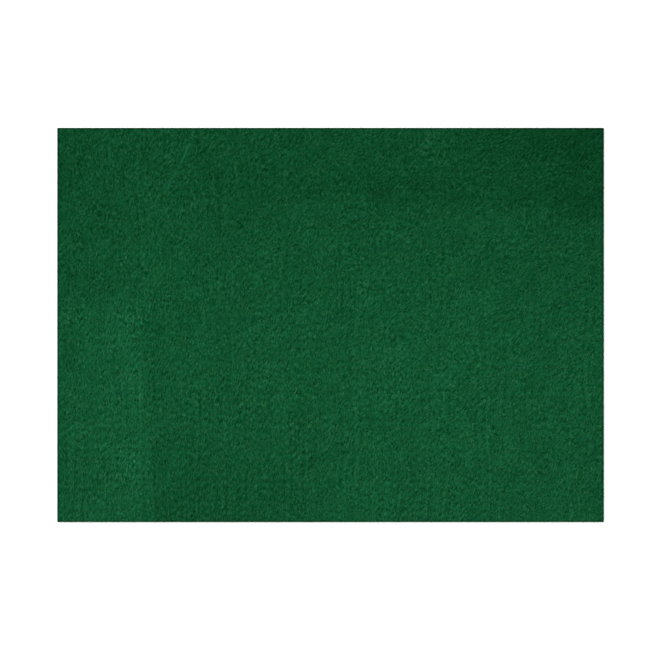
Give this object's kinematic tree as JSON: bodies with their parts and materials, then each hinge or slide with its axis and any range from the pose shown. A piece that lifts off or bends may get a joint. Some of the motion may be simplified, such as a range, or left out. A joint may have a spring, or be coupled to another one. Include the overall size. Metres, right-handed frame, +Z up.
{
  "type": "felt sheet",
  "caption": "Flat rectangular sheet of green needle-punched felt, cut square, used as the covering of a card table's playing surface.",
  "frame": {"origin": "centre of the sheet's underside, where it rests on a table top", "axes": "+X along the long side, +Y along the short side and along the felt's machine direction, +Z up out of the playing face"},
  "size_m": [0.305, 0.22, 0.002],
  "materials": {
    "green_felt": "matte needle-punched felt, short fibres lying across the sheet at a slant"
  },
  "bodies": {
    "root": {"felt_sheet": "green_felt"}
  },
  "joints": []
}
